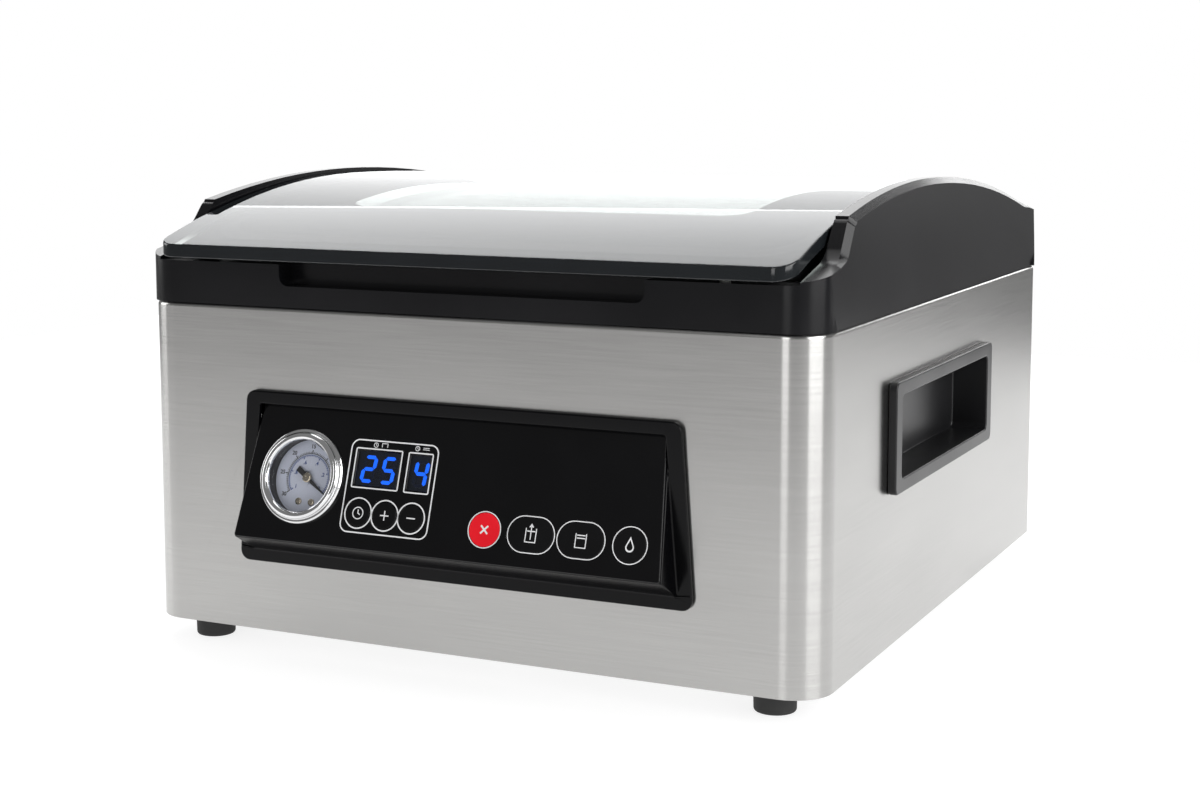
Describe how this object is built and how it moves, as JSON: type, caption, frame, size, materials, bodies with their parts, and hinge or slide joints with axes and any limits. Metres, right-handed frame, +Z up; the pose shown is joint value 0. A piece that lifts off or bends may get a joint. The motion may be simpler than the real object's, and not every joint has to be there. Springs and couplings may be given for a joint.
{
  "type": "vacuum chamber sealer",
  "caption": "Tabletop vacuum chamber sealer with a curved glass lid, a heat seal bar, a tilted control panel with a pressure gauge, and carry handle pockets.",
  "frame": {"origin": "centre of the whole footprint, on the surface that it stands on", "axes": "+X to the right seen from the front, +Y to the rear, +Z up"},
  "size_m": [0.3686, 0.41, 0.2334],
  "materials": {
    "case_steel": "brushed, fine horizontal grain",
    "rear_steel": "brushed sheet",
    "plate_steel": "zinc plated sheet",
    "screw_steel": "plated",
    "chamber_steel": "fine brushed",
    "hinge_steel": "machined",
    "black_rubber": "matte",
    "hose_rubber": "matte",
    "gasket_rubber": "matte silicone",
    "red_silicone": "matte silicone",
    "frame_black": "satin, fine moulded grain",
    "panel_black": "satin",
    "handle_black": "satin",
    "inlet_black": "matte",
    "fan_black": "matte",
    "plunger_white": "natural nylon",
    "fascia_gloss": "gloss",
    "key_black": "satin gloss",
    "key_red": "gloss",
    "display_blue": "lit digits",
    "board_green": "lacquered board",
    "border_black": "printed",
    "gauge_black": "satin",
    "dial_white": "printed",
    "needle_black": "satin",
    "lid_frame_black": "powder coated",
    "motor_paint": "painted",
    "gauge_chrome": "polished",
    "machined_alu": "extruded",
    "pump_alu": "cast",
    "core_steel": "laminated",
    "winding_copper": "enamelled",
    "brass_fitting": "turned",
    "heating_alloy": "flat ribbon",
    "tape_brown": "coated glass cloth",
    "lid_glass": "tempered, polished",
    "clear_glass": "clear",
    "smoke_lens": "smoked"
  },
  "bodies": {
    "housing": {"steel_shell": "case_steel", "back_panel": "rear_steel", "base_plate": "plate_steel", "rubber_feet": "black_rubber", "case_screws": "screw_steel", "top_frame": "frame_black", "chamber_tub": "chamber_steel", "vacuum_port": "brass_fitting", "bar_lift_sleeves": "machined_alu", "hinge_brackets": "hinge_steel", "hinge_pins": "hinge_steel", "panel_housing": "panel_black", "panel_fascia": "fascia_gloss", "display_lens": "smoke_lens", "display_module": "display_blue", "key_board": "board_green", "gauge_case": "gauge_black", "gauge_ring": "gauge_chrome", "gauge_glass": "clear_glass", "gauge_dial": "dial_white", "right_handle_pocket": "handle_black", "left_handle_pocket": "handle_black", "motor_case": "motor_paint", "motor_stator": "winding_copper", "pump_head": "pump_alu", "pump_cradle": "plate_steel", "pump_dampers": "black_rubber", "transformer_core": "core_steel", "transformer_coil": "winding_copper", "solenoid_valves": "brass_fitting", "control_board": "board_green", "vacuum_hose": "hose_rubber", "gauge_hose": "hose_rubber", "power_inlet": "inlet_black", "switch_housing": "inlet_black", "lid_switch": "inlet_black"},
    "lid": {"lid_glass": "lid_glass", "lid_border": "border_black", "lid_frame": "lid_frame_black", "lid_gasket": "gasket_rubber", "counter_bar": "machined_alu", "counter_strip": "red_silicone", "hinge_leaves": "hinge_steel"},
    "seal_bar": {"seal_bar_holder": "machined_alu", "heating_wire": "heating_alloy", "ptfe_tape": "tape_brown", "bar_plungers": "hinge_steel"},
    "set_key": {"set_button": "key_black"},
    "plus_key": {"plus_button": "key_black"},
    "minus_key": {"minus_button": "key_black"},
    "cancel_key": {"cancel_button": "key_red"},
    "vacuum_key": {"vacuum_button": "key_black"},
    "seal_key": {"seal_button": "key_black"},
    "marinate_key": {"marinate_button": "key_black"},
    "needle": {"gauge_needle": "needle_black"},
    "rotor": {"motor_rotor": "core_steel", "cooling_fan": "fan_black"},
    "rocker": {"power_rocker": "inlet_black"},
    "plunger": {"lid_plunger": "plunger_white"}
  },
  "joints": [
    {"name": "lid_hinge", "type": "hinge", "parent": "housing", "child": "lid", "pos_m": [0, 0.1695, 0.198], "axis": [-1, 0, 0], "range_deg": [0, 70]},
    {"name": "seal_bar_lift", "type": "slide", "parent": "housing", "child": "seal_bar", "axis": [0, 0, 1], "range_m": [0, 0.006]},
    {"name": "set_press", "type": "slide", "parent": "housing", "child": "set_key", "axis": [0, 0.9478, -0.319], "range_m": [0, 0.0006], "stiffness_N_per_m": 800},
    {"name": "plus_press", "type": "slide", "parent": "housing", "child": "plus_key", "axis": [0, 0.9478, -0.319], "range_m": [0, 0.0006], "stiffness_N_per_m": 800},
    {"name": "minus_press", "type": "slide", "parent": "housing", "child": "minus_key", "axis": [0, 0.9478, -0.319], "range_m": [0, 0.0006], "stiffness_N_per_m": 800},
    {"name": "cancel_press", "type": "slide", "parent": "housing", "child": "cancel_key", "axis": [0, 0.9478, -0.319], "range_m": [0, 0.0006], "stiffness_N_per_m": 800},
    {"name": "vacuum_press", "type": "slide", "parent": "housing", "child": "vacuum_key", "axis": [0, 0.9478, -0.319], "range_m": [0, 0.0006], "stiffness_N_per_m": 800},
    {"name": "seal_press", "type": "slide", "parent": "housing", "child": "seal_key", "axis": [0, 0.9478, -0.319], "range_m": [0, 0.0006], "stiffness_N_per_m": 800},
    {"name": "marinate_press", "type": "slide", "parent": "housing", "child": "marinate_key", "axis": [0, 0.9478, -0.319], "range_m": [0, 0.0006], "stiffness_N_per_m": 800},
    {"name": "needle_turn", "type": "hinge", "parent": "housing", "child": "needle", "pos_m": [-0.0794, -0.19005, 0.09123], "axis": [0, -0.9478, 0.319], "range_deg": [0, 250], "stiffness_Nm_per_rad": 0.0005},
    {"name": "rotor_spin", "type": "hinge", "parent": "housing", "child": "rotor", "pos_m": [0.015, 0.105, 0.052], "axis": [1, 0, 0], "continuous": true},
    {"name": "rocker_tilt", "type": "hinge", "parent": "housing", "child": "rocker", "pos_m": [-0.066, 0.2022, 0.049], "axis": [0, 0, 1], "range_deg": [0, 12]},
    {"name": "plunger_press", "type": "slide", "parent": "housing", "child": "plunger", "axis": [0, 0, -1], "range_m": [0, 0.002], "stiffness_N_per_m": 300}
  ]
}
